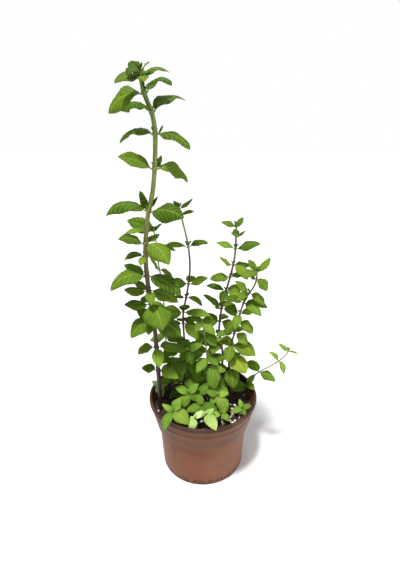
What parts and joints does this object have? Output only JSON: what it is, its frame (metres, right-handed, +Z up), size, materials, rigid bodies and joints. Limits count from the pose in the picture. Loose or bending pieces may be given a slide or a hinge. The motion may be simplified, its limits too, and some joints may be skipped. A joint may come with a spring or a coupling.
{
  "type": "potted mint plant",
  "caption": "Mint plant with tall leggy stems, pairs of serrated crinkled leaves and low young shoots, growing in soil in a thin round plastic nursery pot.",
  "frame": {"origin": "centre of the pot's flat underside", "axes": "+Z up along the pot and the tall stems; -Y is the front of the plant as it was seen"},
  "size_m": [0.2217, 0.1405, 0.4931],
  "materials": {
    "pot_plastic": "matte",
    "potting_soil": "matte",
    "stem_olive_brown": "satin",
    "stem_purple_brown": "satin",
    "leaf_dark": "satin",
    "leaf_mid": "satin",
    "leaf_young": "satin",
    "leaf_pale": "satin"
  },
  "bodies": {
    "root": {"pot": "pot_plastic", "soil": "potting_soil", "main_stem": "stem_olive_brown", "second_stem": "stem_purple_brown", "right_stem": "stem_purple_brown", "forked_stem": "stem_olive_brown", "back_shoot": "leaf_mid", "forked_leaves_0": "leaf_mid", "forked_leaves_1": "leaf_mid", "forked_leaves_2": "leaf_mid", "forked_leaves_3": "leaf_mid", "forked_leaves_4": "leaf_mid", "forked_leaves_5": "leaf_mid", "forked_leaves_6": "leaf_mid", "forked_leaves_7": "leaf_mid", "forked_tip": "leaf_mid", "front_shoot_centre": "leaf_young", "front_shoot_centre_left": "leaf_young", "front_shoot_left": "leaf_young", "front_shoot_right": "leaf_young", "low_shoot_left": "leaf_young", "main_leaves_1": "leaf_dark", "main_leaves_10": "leaf_dark", "main_leaves_11": "leaf_dark", "main_leaves_12": "leaf_dark", "main_leaves_13": "leaf_dark", "main_leaves_2": "leaf_dark", "main_leaves_3": "leaf_dark", "main_leaves_4": "leaf_dark", "main_leaves_5": "leaf_dark", "main_leaves_6": "leaf_dark", "main_leaves_7": "leaf_dark", "main_leaves_8": "leaf_dark", "main_leaves_9": "leaf_dark", "main_tip": "leaf_dark", "middle_shoot": "leaf_young", "middle_shoot_front": "leaf_young", "middle_shoot_left": "leaf_young", "pale_shoot": "leaf_pale", "right_leaves_1": "leaf_mid", "right_leaves_2": "leaf_mid", "right_leaves_3": "leaf_mid", "right_leaves_4": "leaf_mid", "right_leaves_5": "leaf_mid", "right_leaves_6": "leaf_mid", "right_leaves_7": "leaf_mid", "right_tip": "leaf_mid", "rim_shoot": "leaf_pale", "rim_shoot_left": "leaf_pale", "rim_shoot_right": "leaf_young", "second_leaves_1": "leaf_mid", "second_leaves_2": "leaf_mid", "second_leaves_3": "leaf_mid", "second_leaves_4": "leaf_mid", "second_leaves_5": "leaf_mid", "second_leaves_6": "leaf_mid", "second_tip": "leaf_mid", "seedling": "leaf_young", "trailing_shoot": "leaf_young"}
  },
  "joints": []
}
